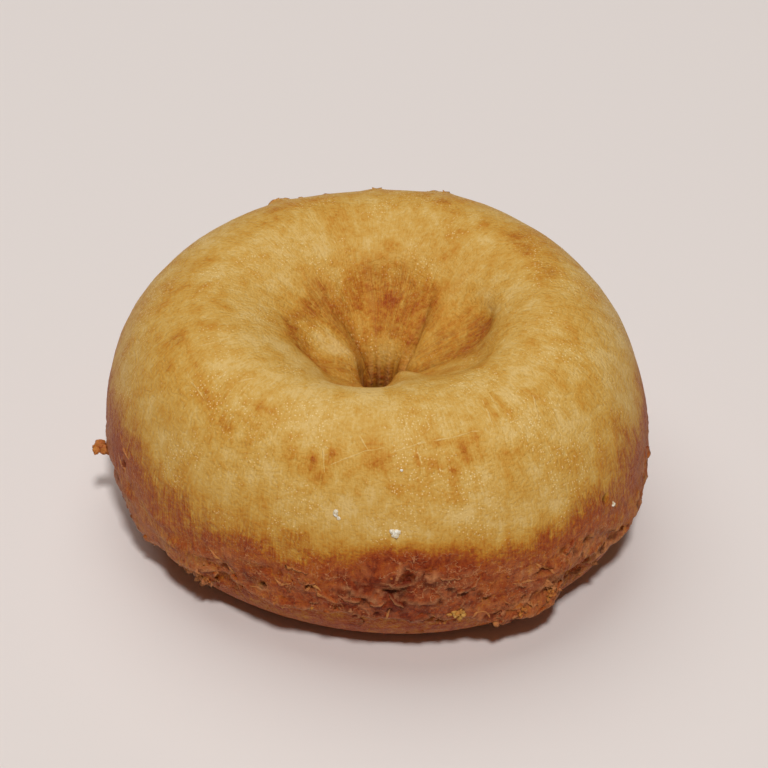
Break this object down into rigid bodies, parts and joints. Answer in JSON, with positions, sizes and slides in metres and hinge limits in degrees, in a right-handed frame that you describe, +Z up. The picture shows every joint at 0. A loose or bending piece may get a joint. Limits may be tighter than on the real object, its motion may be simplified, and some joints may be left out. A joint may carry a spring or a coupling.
{
  "type": "cake doughnut",
  "caption": "Plain ring-shaped fried cake doughnut with a pale smooth top, a cragged browned lower band and a narrow pleated hole.",
  "frame": {"origin": "under the middle of the doughnut's bounding box, on the surface it rests on", "axes": "+Z up along the hole, -Y towards the front that the picture shows, -X towards the side with the crumb"},
  "size_m": [0.0834, 0.0798, 0.0399],
  "materials": {
    "crust": "fried dough: pale gold and satin above, red-brown and rough in the lower band"
  },
  "bodies": {
    "root": {"doughnut": "crust"}
  },
  "joints": []
}
